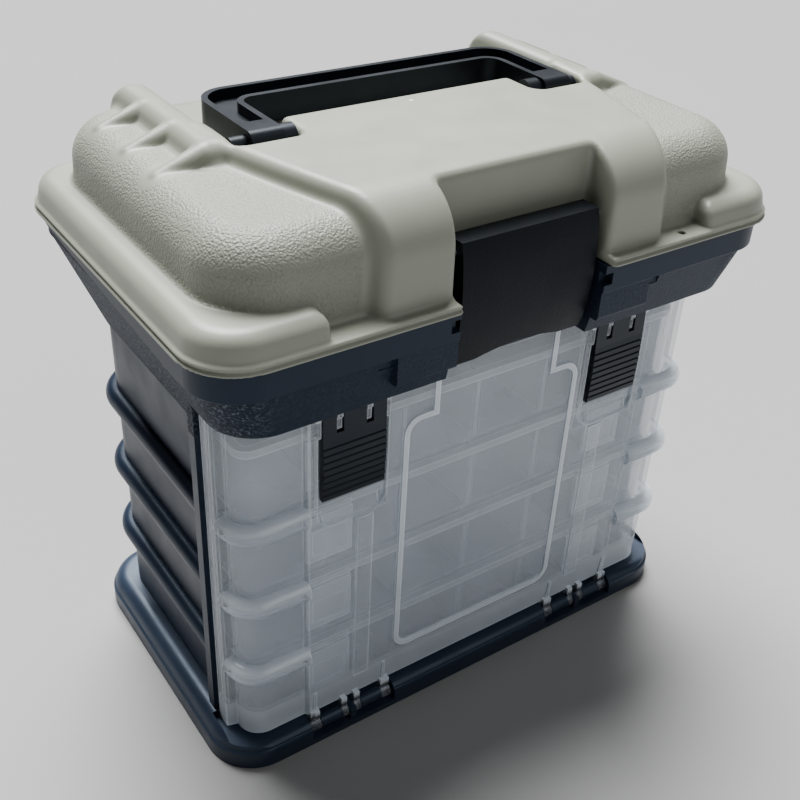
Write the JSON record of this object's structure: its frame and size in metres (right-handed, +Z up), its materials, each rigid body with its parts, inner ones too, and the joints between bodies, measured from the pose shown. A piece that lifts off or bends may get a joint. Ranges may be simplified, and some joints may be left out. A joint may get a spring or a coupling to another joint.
{
  "type": "tackle box",
  "caption": "Hard-sided tackle box: lidded upper tub with carry handle over a rack of clear slide-out trays behind a clear drop-down front door.",
  "frame": {"origin": "middle of the underside of the foot", "axes": "+X to the right across the width, -Y out of the front door, +Z up"},
  "size_m": [0.27, 0.172, 0.2551],
  "materials": {
    "navy_shell": "matte moulded, sparkle grain on the tub",
    "grey_lid": "satin moulded, orange-peel grain on the ends",
    "black_plastic": "fine-grained moulded",
    "clear_plastic": "clear, faintly milky moulded",
    "steel_pin": "plain drawn wire"
  },
  "bodies": {
    "rack": {"base_foot": "navy_shell", "rack_shell": "navy_shell", "upper_tub": "navy_shell", "door_hinge_pins": "navy_shell", "lid_hinge_pins": "steel_pin"},
    "lid": {"lid": "grey_lid", "lid_latch_pin": "steel_pin", "handle_pins": "black_plastic"},
    "lid_latch": {"lid_latch": "black_plastic"},
    "handle": {"carry_handle": "black_plastic"},
    "door": {"front_door": "clear_plastic", "door_latch_pins": "steel_pin"},
    "door_latch_left": {"door_latch_left": "black_plastic"},
    "door_latch_right": {"door_latch_right": "black_plastic"},
    "tray_1": {"tray_1_box": "clear_plastic", "tray_1_lid": "clear_plastic", "tray_1_dividers": "clear_plastic", "tray_1_catches": "clear_plastic"},
    "tray_2": {"tray_2_box": "clear_plastic", "tray_2_lid": "clear_plastic", "tray_2_dividers": "clear_plastic", "tray_2_catches": "clear_plastic"},
    "tray_3": {"tray_3_box": "clear_plastic", "tray_3_lid": "clear_plastic", "tray_3_dividers": "clear_plastic", "tray_3_catches": "clear_plastic"},
    "tray_4": {"tray_4_box": "clear_plastic", "tray_4_lid": "clear_plastic", "tray_4_dividers": "clear_plastic", "tray_4_catches": "clear_plastic"}
  },
  "joints": [
    {"name": "lid_hinge", "type": "hinge", "parent": "rack", "child": "lid", "pos_m": [0, 0.0805, 0.206], "axis": [-1, 0, 0], "range_deg": [0, 105]},
    {"name": "lid_latch_pivot", "type": "hinge", "parent": "lid", "child": "lid_latch", "pos_m": [0, -0.0745, 0.2265], "axis": [-1, 0, 0], "range_deg": [0, 95]},
    {"name": "handle_pivot", "type": "hinge", "parent": "lid", "child": "handle", "pos_m": [0, -0.003, 0.2493], "axis": [1, 0, 0], "range_deg": [0, 95]},
    {"name": "door_hinge", "type": "hinge", "parent": "rack", "child": "door", "pos_m": [0, -0.068, 0.007], "axis": [1, 0, 0], "range_deg": [0, 90]},
    {"name": "door_latch_left_pivot", "type": "hinge", "parent": "door", "child": "door_latch_left", "pos_m": [-0.0672, -0.0669, 0.168], "axis": [-1, 0, 0], "range_deg": [0, 75]},
    {"name": "door_latch_right_pivot", "type": "hinge", "parent": "door", "child": "door_latch_right", "pos_m": [0.0672, -0.0669, 0.168], "axis": [-1, 0, 0], "range_deg": [0, 75]},
    {"name": "tray_1_slide", "type": "slide", "parent": "rack", "child": "tray_1", "axis": [0, -1, 0], "range_m": [0, 0.01415]},
    {"name": "tray_2_slide", "type": "slide", "parent": "rack", "child": "tray_2", "axis": [0, -1, 0], "range_m": [0, 0.06598]},
    {"name": "tray_3_slide", "type": "slide", "parent": "rack", "child": "tray_3", "axis": [0, -1, 0], "range_m": [0, 0.09112]},
    {"name": "tray_4_slide", "type": "slide", "parent": "rack", "child": "tray_4", "axis": [0, -1, 0], "range_m": [0, 0.10997]}
  ],
  "couplings": [
    {"joint": "tray_1_slide", "follows": "door_hinge", "m_per_rad": 0.009},
    {"joint": "tray_2_slide", "follows": "door_hinge", "m_per_rad": 0.042},
    {"joint": "tray_3_slide", "follows": "door_hinge", "m_per_rad": 0.058},
    {"joint": "tray_4_slide", "follows": "door_hinge", "m_per_rad": 0.07}
  ]
}
